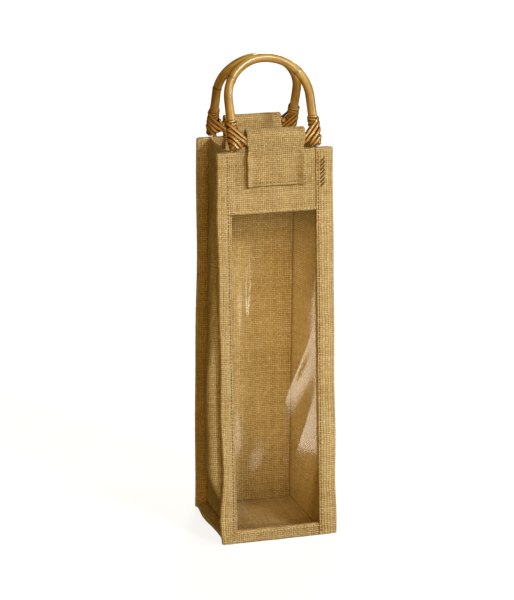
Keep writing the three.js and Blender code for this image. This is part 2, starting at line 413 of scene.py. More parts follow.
def jute_material(name, dark, middle, light, pitch):
    """Coarse plain weave: round uneven yarns that dip under each other, with shade in the gaps."""
    n = Nodes(name)
    coordinate, u, v = n.uv()
    yarn_step, slub_scale, fine, coarse = 7.7, 190.0, 9.0, 1.1

    def counted(place, spacing, sway_scale):
        """A place counted in yarns, which sway a little."""
        sway = n.math("MULTIPLY", n.math("SUBTRACT", n.noise(coordinate, sway_scale), 0.5), 1.2)
        return n.math("ADD", n.math("DIVIDE", place, spacing), sway)

    across = counted(u, pitch, 60.0)
    along = counted(v, pitch * 1.06, 52.0)
    warp, weft = n.math("FLOOR", across), n.math("FLOOR", along)
    warp_slub = n.stretched_noise(warp, yarn_step, v, slub_scale, 0.0)
    weft_slub = n.stretched_noise(u, slub_scale, weft, yarn_step, 5.0)

    def yarn(number, counted_across, counted_along, slub, first_up):
        """Height of a yarn's top: round across, and rising and dipping along its length."""
        cross = n.math("SUBTRACT", n.math("FRACT", counted_across), 0.5)
        length = n.math("SUBTRACT", counted_along, 0.5)
        turn = n.math("MULTIPLY_ADD", n.math("PINGPONG", number, 1.0), -2.0, 1.0)
        wave = n.math("MULTIPLY", turn, n.math("COSINE", n.math("MULTIPLY", length, math.pi)))
        half = n.range(slub, 0.25, 0.75, 0.36, 0.52)
        away = n.math("POWER", n.math("DIVIDE", n.math("ABSOLUTE", cross), half), 2.0)
        rounded = n.math("SQRT", n.math("MAXIMUM", n.math("SUBTRACT", 1.0, away), 0.0))
        return n.math("MULTIPLY_ADD", wave, 0.42 * first_up, n.math("MULTIPLY", rounded, 0.75))

    warp_height = yarn(warp, across, along, warp_slub, 1)
    weft_height = yarn(weft, along, across, weft_slub, -1)
    over = n.range(n.math("SUBTRACT", warp_height, weft_height), -0.06, 0.06)
    under = n.math("SUBTRACT", 1.0, over)

    def shown(from_warp, from_weft):
        """A value of whichever yarn is on top."""
        return n.math("MULTIPLY_ADD", from_warp, over, n.math("MULTIPLY", from_weft, under))

    height = n.math("MAXIMUM", warp_height, weft_height)
    tone = shown(n.random(warp, 3.0), n.random(weft, 11.0))
    slub = shown(warp_slub, weft_slub)
    warp_fibre = n.stretched_noise(across, fine, along, coarse, 0.0, 3.0)
    weft_fibre = n.stretched_noise(across, coarse, along, fine, 4.0, 3.0)
    fibre = shown(warp_fibre, weft_fibre)
    fuzz = n.noise(coordinate, 2600.0, 3.0, 0.6)
    patch = n.math("SUBTRACT", n.noise(coordinate, 16.0), 0.5)
    crossing = n.math("MULTIPLY_ADD", warp, 3.1, n.math("ROUND", over))
    strand = n.random(crossing, n.math("MULTIPLY", weft, 1.7))
    value = n.weigh((slub, 0.14), (tone, 0.11), (strand, 0.11), (fibre, 0.46), (fuzz, 0.28), (patch, 0.22))
    colour = n.ramp(value, [(0.22, dark), (0.52, middle), (0.84, light)])
    shaded = n.mix(1.0, colour, (0.32, 0.20, 0.09, 1), "MULTIPLY")
    colour = n.mix(n.range(height, 0.15, 0.95), shaded, colour)
    relief = n.weigh((height, 1.0), (fuzz, 0.12), (fibre, 0.35))
    return n.finish_principled(
        Base_Color=colour, Roughness=0.93, Normal=n.bump(relief, 0.45 * MM, 0.9), Sheen_Weight=0.15,
        Sheen_Roughness=0.6, Sheen_Tint=(1.0, 0.85, 0.6, 1), Specular_IOR_Level=0.15)


def thread_material(name, dark, light):
    """Finely mottled thread."""
    n = Nodes(name)
    strand = n.noise(n.place(), 1400.0)
    colour = n.ramp(strand, [(0.3, dark), (0.7, light)])
    return n.finish_principled(Base_Color=colour, Roughness=0.8, Normal=n.bump(strand, 0.2 * MM, 0.6))


def film_material():
    """Clear soft film: nearly all light goes through, and only its outer face shines.

    The light isn't bent on its way through, so the inner face would shine too much at a slant.
    """
    n = Nodes("clear_film")
    haze = n.noise(n.place(), 26.0, 3.0, 0.6)
    clear = n.add("ShaderNodeBsdfTransparent", Color=(0.99, 0.985, 0.965, 1))
    gloss = n.add("ShaderNodeBsdfGlossy", Color=(1, 1, 1, 1),
                  Roughness=n.range(haze, 0.3, 0.75, 0.06, 0.12))
    outer = n.math("SUBTRACT", 1.0, n.add("ShaderNodeNewGeometry").outputs["Backfacing"])
    fresnel = n.add("ShaderNodeFresnel", IOR=1.6).outputs[0]
    return n.finish_mixed(n.math("MULTIPLY", fresnel, outer), clear, gloss)


def cane_material(name, dark, middle, light, roughness, painted_edge_shade=0.0):
    """Varnished cane: long streaks along it, and scorched and pale stretches. uv is (round, along).

    The edge shade argument is painted shade: it darkens a strip towards its two edges, for the shade in
    the gaps between strips.
    """
    n = Nodes(name)
    _, around, along = n.uv()
    streak = n.stretched_noise(around, 26.0, along, 30.0, 0.0, 4.0, 0.65)
    stretch = n.stretched_noise(around, 1.5, along, 34.0, 2.0)
    speck = n.noise(n.place(), 900.0)
    value = n.weigh((stretch, 0.6), (streak, 0.55), (speck, 0.12))
    colour = n.ramp(value, [(0.36, dark), (0.62, middle), (0.88, light)])
    scar = n.add("ShaderNodeAttribute", {"attribute_name": "node_mark"}).outputs["Fac"]
    colour = n.mix(n.math("MULTIPLY", scar, 0.75), colour, (0.07, 0.025, 0.004, 1))
    # Painted shade: each strip darkens towards its edges, where it meets the next strip.
    if painted_edge_shade:
        off_middle = n.math("ABSOLUTE", n.math("SUBTRACT", around, 0.5))
        painted_gap_shade = n.range(off_middle, 0.2, 0.46, 0.0, painted_edge_shade)
        colour = n.mix(painted_gap_shade, colour, (0.035, 0.012, 0.002, 1))
    return n.finish_principled(Base_Color=colour, Roughness=roughness, Coat_Weight=0.7,
                               Coat_Roughness=0.14, Normal=n.bump(streak, 0.2 * MM, 0.55))


def steel_material():
    n = Nodes("steel")
    scratches = n.noise(n.place(), 1500.0, 3.0)
    colour = n.ramp(scratches, [(0.3, (0.30, 0.28, 0.25)), (0.7, (0.5, 0.49, 0.46))])
    rough = n.range(scratches, 0.2, 0.8, 0.3, 0.55)
    return n.finish_principled(Base_Color=colour, Metallic=1.0, Roughness=rough)


def floor_material():
    """A plain pale sweep: mostly bright by itself, so that only a soft shadow shows on it."""
    n = Nodes("floor")
    tone = n.noise(n.place(), 1.5, 1.0)
    colour = n.ramp(tone, [(0.0, (0.93, 0.93, 0.92)), (1.0, (0.96, 0.96, 0.95))])
    matte = n.add("ShaderNodeBsdfDiffuse", Color=colour)
    glow = n.add("ShaderNodeEmission", Color=(1.0, 0.995, 0.985, 1))
    return n.finish_mixed(0.72, matte, glow)


HEM_THREAD = thread_material("thread", (0.46, 0.33, 0.15), (0.86, 0.72, 0.46))
# The same pale thread as the hems, painted dark for the shade in its needle dimples and under the seam
# lips.
SHADED_SEAM_THREAD = thread_material("seam_thread_painted_shade", (0.11, 0.06, 0.014), (0.27, 0.16, 0.05))
MATERIALS = {  # by slot
    "jute": jute_material(
        "jute", (0.25, 0.155, 0.042), (0.53, 0.395, 0.185), (0.82, 0.68, 0.42), 1.75 * MM),
    # The binding tape's jute: its weave is a little finer, and its lighter colour is painted light, for
    # the light its flanges catch.
    "jute_binding": jute_material(
        "jute_binding", (0.29, 0.180, 0.052), (0.57, 0.43, 0.205), (0.84, 0.71, 0.45), 1.65 * MM),
    "clear_film": film_material(),
    "cane": cane_material("cane", (0.19, 0.08, 0.010), (0.50, 0.31, 0.08), (0.80, 0.60, 0.27), 0.33),
    "cane_strip": cane_material(
        "cane_strip", (0.22, 0.085, 0.012), (0.50, 0.26, 0.05), (0.78, 0.53, 0.19), 0.34, 0.85),
    "steel": steel_material(),
}


# ---------------- bag cloth

def hem_path(start, end, fold_start, fold_end):
    """(depth, height) up a panel whose edges are turned in: fold_start, if any, and fold_end long."""
    radius = HEM_GAP / 2
    inner = PANEL_DEPTH + HEM_GAP
    middle = PANEL_DEPTH + radius
    path = [[[PANEL_DEPTH, start]]]
    if fold_start:
        path = [[[inner, start + fold_start]], arc((middle, start + radius), radius, 0, -180)]
    path += [arc((middle, end - radius), radius, 180, 0), [[inner, end - fold_end]]]
    return resample(np.concatenate(path), 1.6 * MM)


def panel_swell(face, x, height):
    """How far the cloth stands out of its flat plane, towards the outside."""
    across = np.clip(np.cos(np.pi * x / (2 * SEAM_X)), 0, None)
    seed = 3 if face == FRONT else 8
    soft = waves(seed, x, height, 45 * MM, 80 * MM) * 0.45 * MM
    if face == FRONT:
        return across * (0.5 * MM + soft)
    middle = bell(height, 0.15, 0.11)
    return across * (0.4 * MM + 2.6 * MM * middle + 1.6 * soft)


def panel(name, node, face, start, end, fold_start, fold_end):
    """A flat panel of the front or the back, hemmed at its upper edge and perhaps its lower one."""
    path, along = hem_path(start, end, fold_start, fold_end)
    x, depth, height, length = strip_grid(PANEL_HALF, 2.5 * MM, path, along)
    points = on_face(face, x, depth - panel_swell(face, x, height), height)
    add_sheet(name, node, "jute", points, np.stack([x, length], -1))


def gusset_ridge(side, z):
    """Where a gusset's outward fold stands at each height: how far out, and how far along the cloth.

    The cloth is slack because the mouth is drawn in. The left gusset folds out close behind its
    front seam, in a ridge that is fullest in the lower half and fades towards the mouth.
    """
    if side == LEFT:
        out = LEFT_FOLD - sum(fall * smooth(low, high, z) for fall, low, high in LEFT_FOLD_FALLS)
        full = 1 - smooth(0.16, 0.28, z)
        along = 0.24 - 0.09 * full + 0.25 * (1 - smooth(0.005, 0.04, z))
    else:
        full = 1 - smooth(0.06, 0.3, z)
        out = RIGHT_FOLD * (0.6 + 0.4 * full) * (1 - 0.8 * smooth(0.31, BAG_HEIGHT, z))
        along = 0.34 + 0.1 * full
    return out * smooth(0.0, 0.068, z), along


def gusset_point(side, t, z):
    """Out of the side seam and along the bag's depth, for t from the front seam to the back one."""
    half = half_depth(z, GUSSET_DEPTH)
    out, along = gusset_ridge(side, z)
    bend = along + 0.03  # the cloth's share in front of the ridge, with the fold's own length
    round_off = 0.075 + 0.06 * smooth(0.15, 0.3, z)

    def soft(value):
        return (value + np.sqrt(value ** 2 + round_off ** 2)) / 2

    def kink(at):
        return soft(at - bend) - soft(-bend) * (1 - at) - (soft(1 - bend) - (1 - bend)) * at

    steepness = 1 / bend + 1 / (1 - bend)
    reach_out = out * (t / bend - steepness * kink(t)) / (1 - steepness * kink(bend))
    ridge_y = 2 * half * (0.02 + 0.35 * smooth(0.16, 0.36, along))
    reach_along = ridge_y / bend * t + ((2 * half - ridge_y) / (1 - bend) - ridge_y / bend) * kink(t)
    behind_front = smooth(0, 0.035, t) * (1 - smooth(0.3, 0.6, t))
    behind_back = smooth(0, 0.035, 1 - t) * (1 - smooth(0.3, 0.6, 1 - t))
    off_tape = 2.3 * MM * (behind_front - behind_back)  # clear of the bindings' inner walls
    low = smooth(0.004, 0.05, z)
    across = np.sin(np.pi * t)
    sag = 1.2 * MM * np.sin(np.pi * np.clip((t - bend) / (1 - bend), 0, 1)) * low
    fine = waves(21 + side, t * 0.1, z, 42 * MM, 65 * MM) * 0.6 * MM * across * low
    draw = waves(27 + side, t * 0.1 + 0.35 * z, z, 17 * MM, 150 * MM, 5) * 0.3 * MM * across * low
    return reach_out + sag + fine + draw, reach_along + off_tape * low - half


def gusset(side):
    """A gusset from one bound seam to the other, its top edge turned in."""
    turned = spread(PANEL_HALF, SEAM_X + 1.2 * MM, 2 * MM)
    t_values = np.concatenate([np.linspace(0, 0.3, 26), np.linspace(0.315, 1, 44)])
    turn = 0.6 * MM
    heights, along = resample(
        np.concatenate([[[0.0, GUSSET_DEPTH]], [[0.0, BAG_HEIGHT - turn]],
                        arc((-turn, BAG_HEIGHT - turn), turn, 0, 180, 5),
                        [[-2 * turn, BAG_HEIGHT - MOUTH_HEM]]]), 2.4 * MM)
    inset, z = heights[:, 0], heights[:, 1]
    t, zz = grid(t_values, z)
    out, y = gusset_point(side, t, zz)
    web = np.stack([side * (SEAM_X + CLOTH / 2 + out + inset), y, zz], -1)
    seam_y = half_depth(z, GUSSET_DEPTH)
    edge = np.stack([np.stack([np.full_like(z, side * x), -seam_y, z], -1) for x in turned])
    points = np.concatenate([edge, web, edge[::-1] * [1, -1, 1]])
    cut = distances(points[:, len(z) // 3])
    uv = np.stack(grid(cut, along), -1)
    name = f"{SIDE_NAMES[side]}_gusset"
    add_sheet(f"{name}_cloth", name, "jute", points, uv, flip=side == RIGHT)


def base_cloth():
    """The base rests on its middle, and its side margins rise into the bound seams."""
    half = half_depth(0, PANEL_DEPTH + CLOTH / 2 + 0.15 * MM)
    x, y = grid(spread(-PANEL_HALF, PANEL_HALF, 2.2 * MM), spread(-half, half, 2.5 * MM))
    margin = smooth(SEAM_X - 6 * MM, SEAM_X + MM, np.abs(x))
    quilt = np.clip(waves(31, x, y, 40 * MM, 45 * MM), 0, None) * 0.5 * MM
    z = CLOTH / 2 + LIFT + margin * 1.2 * MM + quilt * (1 - margin)
    points = np.stack([x, y, z], -1)
    add_sheet("base_cloth", "base_panel", "jute", points, points[..., :2])


# ---------------- bindings

def binding_profile():
    """(out, depth) along a binding's middle, from its outer lip round the fold to its inner lip."""
    radius = (SEAM_THICKNESS - CLOTH) / 2
    outer, inner = CLOTH / 2, SEAM_THICKNESS - CLOTH / 2
    fold = FLANGE - CLOTH / 2 - radius
    path = np.concatenate([
        [[0.1 * MM, outer + 0.3 * MM], [1.1 * MM, outer]],
        [[fold - 0.3 * MM, outer]],
        arc((fold, outer + radius), radius, -90, 90, 11),
        [[fold - 0.3 * MM, inner], [1.6 * MM, inner]],
    ])
    return resample(path, 0.75 * MM)


def needle_holes(length):
    """Where the needle goes through, along a seam of this length."""
    return STITCH_START + spread(0, length - 2 * STITCH_START, STITCH)


def pinch(out, depth, along, length):
    """Draws both walls of a binding together at its stitches and behind its rolled edge."""
    holes = needle_holes(length)
    pitch = holes[1] - holes[0]
    dimple = np.cos(np.pi * (along - holes[0]) / pitch) ** 4
    towards_middle = np.sign(SEAM_THICKNESS / 2 - depth)
    stitched = (0.4 + 0.45 * dimple) * MM * bell(out, STITCH_LINE, 0.85 * MM)
    rolled = 0.85 * MM * bell(out, FLANGE - 3.4 * MM, 0.65 * MM)
    return depth + towards_middle * (stitched + rolled)


def flare(side, face, height):
    """How much further a bound seam's edge stands out at a height."""
    if face == BACK:
        low = 1.2 * MM * (1 - smooth(0.1, 0.3, height)) if side == LEFT else 0.0
        return low + 0.8 * MM * smooth(0.3, 0.36, height)
    foot = 2.4 * MM if side == LEFT else 1.0 * MM
    return FRONT_SPLAY + foot * bell(height, 0.022, 0.022)


def lip_drift(face, out):
    """A front binding's shift along x: to the left at its lips, and none at its fold."""
    if face == BACK:
        return 0.0
    return -FRONT_DRIFT * (1 - smooth(0, FLANGE, out))


def seam_surface(seed, out, depth, along, length, extra_out):
    """A binding's surface after its sway, puckers and pinches: out of the seam, and depth."""
    slow = waves(seed, along, 0, 120 * MM, 1.0, 4)
    fine = waves(seed + 50, along, 0, 11 * MM, 1.0, 4)
    reach = smooth(0, FLANGE, out)
    new_out = out + reach * (0.45 * MM * slow + 0.07 * MM * fine + extra_out)
    new_depth = pinch(out, depth, along, length) + reach * 0.6 * MM * slow + 0.1 * MM * fine
    return new_out, new_depth


def binding_grid(seed, start, length, flare_at):
    """Grids over a binding: out of the seam, depth, place along it, and uv."""
    path, across = binding_profile()
    holes = needle_holes(length)
    step = (holes[1] - holes[0]) / 3
    before = np.arange(holes[0], start, -step)[::-1]
    places = np.concatenate([before, np.arange(holes[0] + step, length, step)])
    out, along = grid(path[:, 0], places)
    depth, _ = grid(path[:, 1], places)
    new_out, new_depth = seam_surface(seed, out, depth, along, length, flare_at(along))
    return new_out, new_depth, along, np.stack(grid(across, places), -1)


def binding_seed(side, face):
    return 60 + 2 * side + face


def add_binding(name, points, uv, flip):
    add_sheet(f"{name}_tape", name, "jute_binding", points, uv, flip=flip)


def upright_binding(side, face):
    """A bound seam up the front or the back."""
    out, depth, height, uv = binding_grid(
        binding_seed(side, face), 0.3 * MM, PANEL_TOP, lambda height: flare(side, face, height))
    x = side * (SEAM_X + out) + lip_drift(face, out)
    points = on_face(face, x, np.maximum(depth, -1.5 * MM), height)
    name = f"{SIDE_NAMES[side]}_{FACE_NAMES[face]}_binding"
    add_binding(name, points, uv, side * face > 0)


def base_binding(side):
    """The base's bound side seam, which lies flat and flares out a little."""
    half = half_depth(0, SEAM_THICKNESS) - 0.3 * MM
    middle, width, most = (0.064, 0.022, 2.4 * MM) if side == LEFT else (0.014, 0.02, 2.8 * MM)
    out, depth, along, uv = binding_grid(
        80 + side, 0.0, 2 * half, lambda along: most * bell(along, middle, width))
    points = np.stack([side * (SEAM_X + out), along - half, np.maximum(depth, CLOTH / 2 + LIFT)], -1)
    add_binding(f"{SIDE_NAMES[side]}_base_binding", points, uv, side == LEFT)


# ---------------- window

# Long soft ridges in the film: middle's x and height, lean to the right for each unit of height,
# half width, half length and rise
FILM_RIDGES = [
    (13 * MM, 0.150, 0.50, 7 * MM, 30 * MM, 0.75 * MM),
    (19 * MM, 0.095, 0.42, 9 * MM, 38 * MM, 1.0 * MM),
    (14 * MM, 0.250, 0.30, 9 * MM, 30 * MM, 0.12 * MM),
    (-31 * MM, 0.235, 0.03, 5 * MM, 50 * MM, 1.5 * MM),
]


def film_swell(x, height):
    """How far the film stands out of its plane: a few slanting ridges and slow ripples."""
    swell = 0.0
    for at_x, at_height, lean, width, length, rise in FILM_RIDGES:
        off = (x - at_x) - lean * (height - at_height)
        swell = swell + rise * bell(off, 0, width) * bell(height, at_height, length)
    slant = x - 0.38 * height
    low = 1 - smooth(0.05, 0.14, height)
    ripple = (0.16 + 0.2 * low) * MM * waves(90, slant, height, 34 * MM, 260 * MM, 5)
    return 0.6 * MM + swell + ripple


def window_film():
    """The clear window: a thin film with long slanting ridges, flat where it is sewn in."""
    low, high = BORDER_TOP - WINDOW_HEM, WINDOW_TOP + WINDOW_HEM
    half = SEAM_X + FLANGE / 2
    x, height = grid(spread(-half, half, 1.6 * MM), spread(low, high, 2.2 * MM))
    free = np.clip(np.cos(np.pi * x / (2 * SEAM_X)), 0, None) ** 0.6
    free = free * smooth(BORDER_TOP - MM, BORDER_TOP + 25 * MM, height)
    free = free * (1 - smooth(WINDOW_TOP - 25 * MM, WINDOW_TOP + MM, height))
    points = on_face(FRONT, x, FILM_DEPTH - free * film_swell(x, height), height)
    add_sheet("window_film_sheet", "window_film", "clear_film", points, np.stack([x, height], -1),
              thickness=FILM)


# ---------------- tabs

def tab_path():
    """(depth, height) along a tab: up the outside, over the crossbar and down inside."""
    radius = 5.2 * MM  # of the loop over the crossbar
    neck_half = radius - 0.2 * MM
    neck_height = PIVOT_Z / math.cos(TILT) - 3 * MM
    outer_leg = PANEL_DEPTH - 1.75 * MM
    inner_leg = PANEL_DEPTH + 2.4 * MM
    flat_top, parting = BAG_HEIGHT - 9 * MM, BAG_HEIGHT - 1 * MM
    apart = 0.9 * MM  # how far out each leg is bent at the parting
    top = TAB_TOP / math.cos(TILT) - 0.5 * MM - radius
    return resample(np.concatenate([
        [[outer_leg, TAB_BOTTOM / math.cos(TILT)], [outer_leg, flat_top],
         [outer_leg - apart, parting], [PANEL_DEPTH - neck_half, neck_height]],
        arc((PANEL_DEPTH, top), radius, 180, 0, 15),
        [[PANEL_DEPTH + neck_half, neck_height], [inner_leg + apart, parting],
         [inner_leg, flat_top], [inner_leg, BAG_HEIGHT - 22 * MM]],
    ]), 1.4 * MM)


def tab(face):
    """The cloth strip that holds a crossbar, its side edges curling up where it lies on the panel."""
    path, along = tab_path()
    x, depth, height, length = strip_grid(TAB_HALF, 2 * MM, path, along)
    soft = waves(110 + face, x, length, 26 * MM, 40 * MM)
    edge = 0.5 * MM * waves(114 + face, height, 0, 22 * MM, 1.0, 4)
    outward = np.where(length < along[-1] / 2, 1, -1)
    lifted = 1 - smooth(BAG_HEIGHT - 6 * MM, BAG_HEIGHT + 4 * MM, height)
    curl = 3 * MM * smooth(0.76, 1.0, np.abs(x) / TAB_HALF) * lifted
    shifted = depth - outward * (0.3 * MM * soft + curl)
    points = on_face(face, x + edge * (x / TAB_HALF), shifted, height)
    name = f"{FACE_NAMES[face]}_tab"
    add_sheet(f"{name}_cloth", name, "jute", points, np.stack([x, length], -1),
              TAB_CLOTH, flip=face == BACK)


# ---------------- stitches

def stitch_run(holes, normal, radius=THREAD):
    """Short rounded stitches from each needle hole to the next, each end dipping into the cloth."""
    parts = []
    profile = np.linspace(0, 1, 7)
    thick = radius * np.array([0.5, 0.85, 1, 1, 1, 0.85, 0.5])
    rise = (np.sin(np.pi * profile) ** 0.7 - 0.75) * radius * 1.7
    for start, end in zip(holes[:-1], holes[1:]):
        line = start + (end - start) * (0.08 + 0.84 * profile)[:, None] + np.outer(rise, normal)
        parts.append(tube(line, thick, 6, normal))
    return parts


# Stitches take the thread painted dark for shade unless another is given.
def add_stitches(name, parts, material=SHADED_SEAM_THREAD):
    piece = add_mesh(name, *merge(parts), material, "bag")


def seam_holes(side, face, wall_depth):
    """Needle holes up a bound seam, on one wall of its binding."""
    heights = needle_holes(PANEL_TOP)
    seed = binding_seed(side, face)
    out, depth = seam_surface(seed, STITCH_LINE, wall_depth, heights, PANEL_TOP, 0.0)
    return on_face(face, side * (SEAM_X + out) + lip_drift(face, out), depth, heights)


def face_normal(face):
    return np.array([0, -face * math.cos(TILT), math.sin(TILT)])


def seam_stitches():
    """Stitches on both walls of each upright binding."""
    for side in (LEFT, RIGHT):
        for face in (FRONT, BACK):
            parts = stitch_run(seam_holes(side, face, 0.0), face_normal(face), THICK_THREAD)
            parts += stitch_run(seam_holes(side, face, SEAM_THICKNESS), -face_normal(face))
            add_stitches(f"{SIDE_NAMES[side]}_{FACE_NAMES[face]}_seam_thread", parts)


def bar_tack():
    """A row of slanting stitches that locks the right front seam under the mouth."""
    parts = []
    across = [SEAM_X + 0.4 * MM, SEAM_X + 6.6 * MM]
    half_rise = 3.4 * MM
    for height in spread(PANEL_TOP - 33 * MM, PANEL_TOP - 11 * MM, 3.7 * MM):
        ends = on_face(FRONT, across, -0.25 * MM, [height - half_rise, height + half_rise])
        parts += stitch_run(ends, face_normal(FRONT), THREAD * 2.1)
    add_stitches("right_front_bar_tack", parts)


def hem_stitches():
    """Stitches along the window's upper and lower hems, which also hold the film."""
    xs = spread(-SEAM_X + 2 * MM, SEAM_X - 2 * MM, 3 * MM)
    parts = []
    for height in (WINDOW_TOP + 2.2 * MM, BORDER_TOP - 2.6 * MM):
        depth = PANEL_DEPTH - CLOTH / 2 - panel_swell(FRONT, xs, height)
        holes, _ = resample(on_face(FRONT, xs, depth, height), STITCH)
        parts += stitch_run(holes, face_normal(FRONT), THICK_THREAD)
    add_stitches("window_thread", parts, HEM_THREAD)


def tab_stitches():
    """A box of stitches on each tab's outer leg."""
    path, _ = tab_path()
    outer_depth = path[0, 0] - 0.67 * MM  # on the outer face of the cloth
    inset = 3.2 * MM
    low, high = TAB_BOTTOM + inset, BAG_HEIGHT - 4 * MM
    half = TAB_HALF - inset
    corners = [(-half, low), (half, low), (half, high), (-half, high), (-half, low)]
    for face in (FRONT, BACK):
        parts = []
        for (x0, h0), (x1, h1) in zip(corners[:-1], corners[1:]):
            ends = on_face(face, [x0, x1], outer_depth, [h0, h1])
            parts += stitch_run(resample(ends, STITCH)[0], face_normal(face))
        add_stitches(f"{FACE_NAMES[face]}_tab_thread", parts)


# ---------------- handles

def to_world(face, points):
    """From a handle's own axes, x across, y through and z up its legs, to the world at rest."""
    lean = math.asin(BOW_LEAN / BOW_REACH)
    turned = points @ np.array(Matrix.Rotation(-face * lean, 3, "X")).T
    return turned + np.array(PIVOTS[face])


def bow_path(step):
    """Up one leg, round the bow and down the other leg."""
    foot = [[-LEG_X, -LEG_TAIL]]
    top = arc((0, LEG_LENGTH), LEG_X, 180, 0, 61)
    path, along = resample(np.concatenate([foot, top, [[LEG_X, -LEG_TAIL]]]), step)
    return np.insert(path, 1, 0, axis=1), along


def cane_rod(part, path, along, nodes, seed, face):
    """A cane rod: nearly round, with a few nodes and rounded cut ends."""
    radius = CANE_R * (1 + 0.03 * waves(seed, along, 0, 60 * MM, 1.0, 4))
    for node in nodes:
        swelling = 0.42 * MM * bell(along, node, 1.6 * MM)
        ring = 0.35 * MM * bell(along, node + 1.1 * MM, 0.5 * MM)
        radius = radius + swelling - ring
    from_end = np.minimum(along - along[0], along[-1] - along)
    rounding = (1 - np.clip(from_end / (1.4 * MM), 0, 1)) ** 2 * 0.55
    radius = radius * np.sqrt(np.clip(1 - rounding, 0, 1))
    crook = 0.35 * MM * waves(seed + 5, along, 0, 90 * MM, 1.0, 4)
    through = np.array([0, 1, 0])
    vertices, faces, uv = tube(path + np.outer(crook, through), radius, 20, through)
    handle_name = f"{FACE_NAMES[face]}_handle"
    name = f"{FACE_NAMES[face]}_{part}_cane"
    piece = add_mesh(name, to_world(face, vertices), faces, uv, MATERIALS["cane"], handle_name)
    mark = sum((bell(uv[:, 1], node + 0.9 * MM, 0.7 * MM) for node in nodes), np.zeros(len(uv)))
    layer = piece.data.attributes.new("node_mark", "FLOAT", "POINT")
    layer.data.foreach_set("value", mark.astype(np.float32))
    stand_for(f"{handle_name}_{part}")


def corner_distance(points, side):
    """Distance from points to a handle's corner: the leg and the crossbar, blended where they meet."""
    x, y, z = points[..., 0] * side, points[..., 1], points[..., 2]
    leg = np.sqrt((x - LEG_X) ** 2 + y ** 2) - CANE_R
    leg = np.maximum(leg, -LEG_TAIL + 1.0 * MM - z)
    bar = np.sqrt(z ** 2 + y ** 2) - CANE_R
    bar = np.maximum(bar, x - LEG_X)
    blend = 2.2 * MM
    share = np.clip(0.5 + 0.5 * (bar - leg) / blend, 0, 1)
    return bar * (1 - share) + leg * share - blend * share * (1 - share)


def taut_loop(side, centre, first, second, lift):
    """A strip pulled tight round the cane in a plane: it bridges hollows, as a convex outline does."""
    search = 16 * MM  # the strip stays inside this radius
    line = np.arange(-17, 17.01, 0.25) * MM
    a, b = grid(line, line)
    inside = corner_distance(centre + a[..., None] * first + b[..., None] * second, side) <= lift
    inside &= a ** 2 + b ** 2 < search ** 2
    section = np.stack([a[inside], b[inside]], -1)
    middle = section.mean(axis=0)
    facing = np.linspace(0, 2 * math.pi, 96, endpoint=False)
    support = ((section - middle) @ np.stack([np.cos(facing), np.sin(facing)])).max(axis=0)
    angle = np.linspace(0, 2 * math.pi, 48, endpoint=False)
    cosine = np.cos(angle[:, None] - facing)
    reach = np.where(cosine > 0.1, support / np.maximum(cosine, 0.1), np.inf).min(axis=1)
    at = middle + reach[:, None] * np.stack([np.cos(angle), np.sin(angle)], -1)
    return centre + at[:, :1] * first + at[:, 1:] * second


def strip_loop(side, centre, axis, width, lift):
    """One turn of cane strip round the corner, in the plane through centre square to axis."""
    axis = unit(np.asarray(axis, float))
    first = unit(np.cross(axis, [0.0, 1.0, 0.0]))
    second = np.cross(axis, first)
    section = [(-0.5, 0.0), (-0.38, 0.38), (0.0, 0.62), (0.38, 0.38), (0.5, 0.0), (0.0, -0.3)]
    rows = [
        taut_loop(side, centre + axis * offset * width, first, second, lift + rise * 0.9 * MM)
        for offset, rise in section
    ]
    points = np.stack(rows, 1)
    index = np.pad(np.arange(len(points) * len(section)).reshape(points.shape[:2]), (0, 1), "wrap")
    start = 1.3 * (centre[0] + 3 * centre[2])
    around = np.tile([offset + 0.5 for offset, _ in section[:-1]] + [0.0], len(points))
    along = np.repeat(start + np.linspace(0, 0.04, len(points)), len(section))
    return points.reshape(-1, 3), quads(index), np.stack([around, along], -1)


def wrap(face, side):
    """Cane strip lashed over a handle corner: two crossed sets of turns, and rings on each rod."""
    out_up = np.array([side, 0, 1.0]) / math.sqrt(2)
    in_up = np.array([-side, 0, 1.0]) / math.sqrt(2)
    corner = np.array([side * LEG_X, 0, 0])
    strip = 3.3 * MM
    rng = np.random.default_rng(150 + 2 * side + face)

    def turn(place, axis, width, lift):
        askew = np.asarray(axis, float) + rng.normal(0, 0.05, 3) * [1, 0.4, 1]
        return corner + place, askew, width * rng.uniform(0.92, 1.06), lift + rng.uniform(0, 0.15) * MM

    turns = [turn(out_up * shift * MM, out_up, strip, 0.3 * MM) for shift in (-2.8, 0.4)]
    turns += [turn(in_up * shift * MM, in_up, strip, 1.1 * MM) for shift in (-3.4, 0.3, 3.9, 7.4)]
    turns += [turn(np.array([0, 0, height * MM]), [0.16 * side, 0, 1], 2.7 * MM, 0.6 * MM)
              for height in (11.2, 14.2, 17.0)]
    turns.append(turn(np.array([-side * 6.8 * MM, 0, 0]), [1, 0, 0.1], 2.6 * MM, 0.5 * MM))
    vertices, faces, uv = merge([strip_loop(side, *each) for each in turns])
    body = f"{FACE_NAMES[face]}_handle"
    name = f"{body}_wrap_{SIDE_NAMES[side]}"
    piece = add_mesh(f"{name}_strip", to_world(face, vertices), faces, uv, MATERIALS["cane_strip"], body)
    stand_for(name)


def handle(face):
    """A handle: its bow with two nodes, its crossbar, and a wrap and a tack at each corner."""
    path, along = bow_path(1.5 * MM)
    total = along[-1]
    nodes = (0.31 * total, 0.66 * total) if face == FRONT else (0.24 * total, 0.58 * total)
    cane_rod("bow", path, along, nodes, 130 + face, face)
    xs = spread(-LEG_X, LEG_X, 2 * MM)
    cane_rod("crossbar", np.outer(xs, [1, 0, 0]), xs - xs[0], (), 140 + face, face)
    for side in (LEFT, RIGHT):
        wrap(face, side)
        tack = frame["nodes"][f"{FACE_NAMES[face]}_handle_tack_{SIDE_NAMES[side]}"]
        tack.data.materials.clear()
        tack.data.materials.append(MATERIALS["steel"])


# ---------------- stage

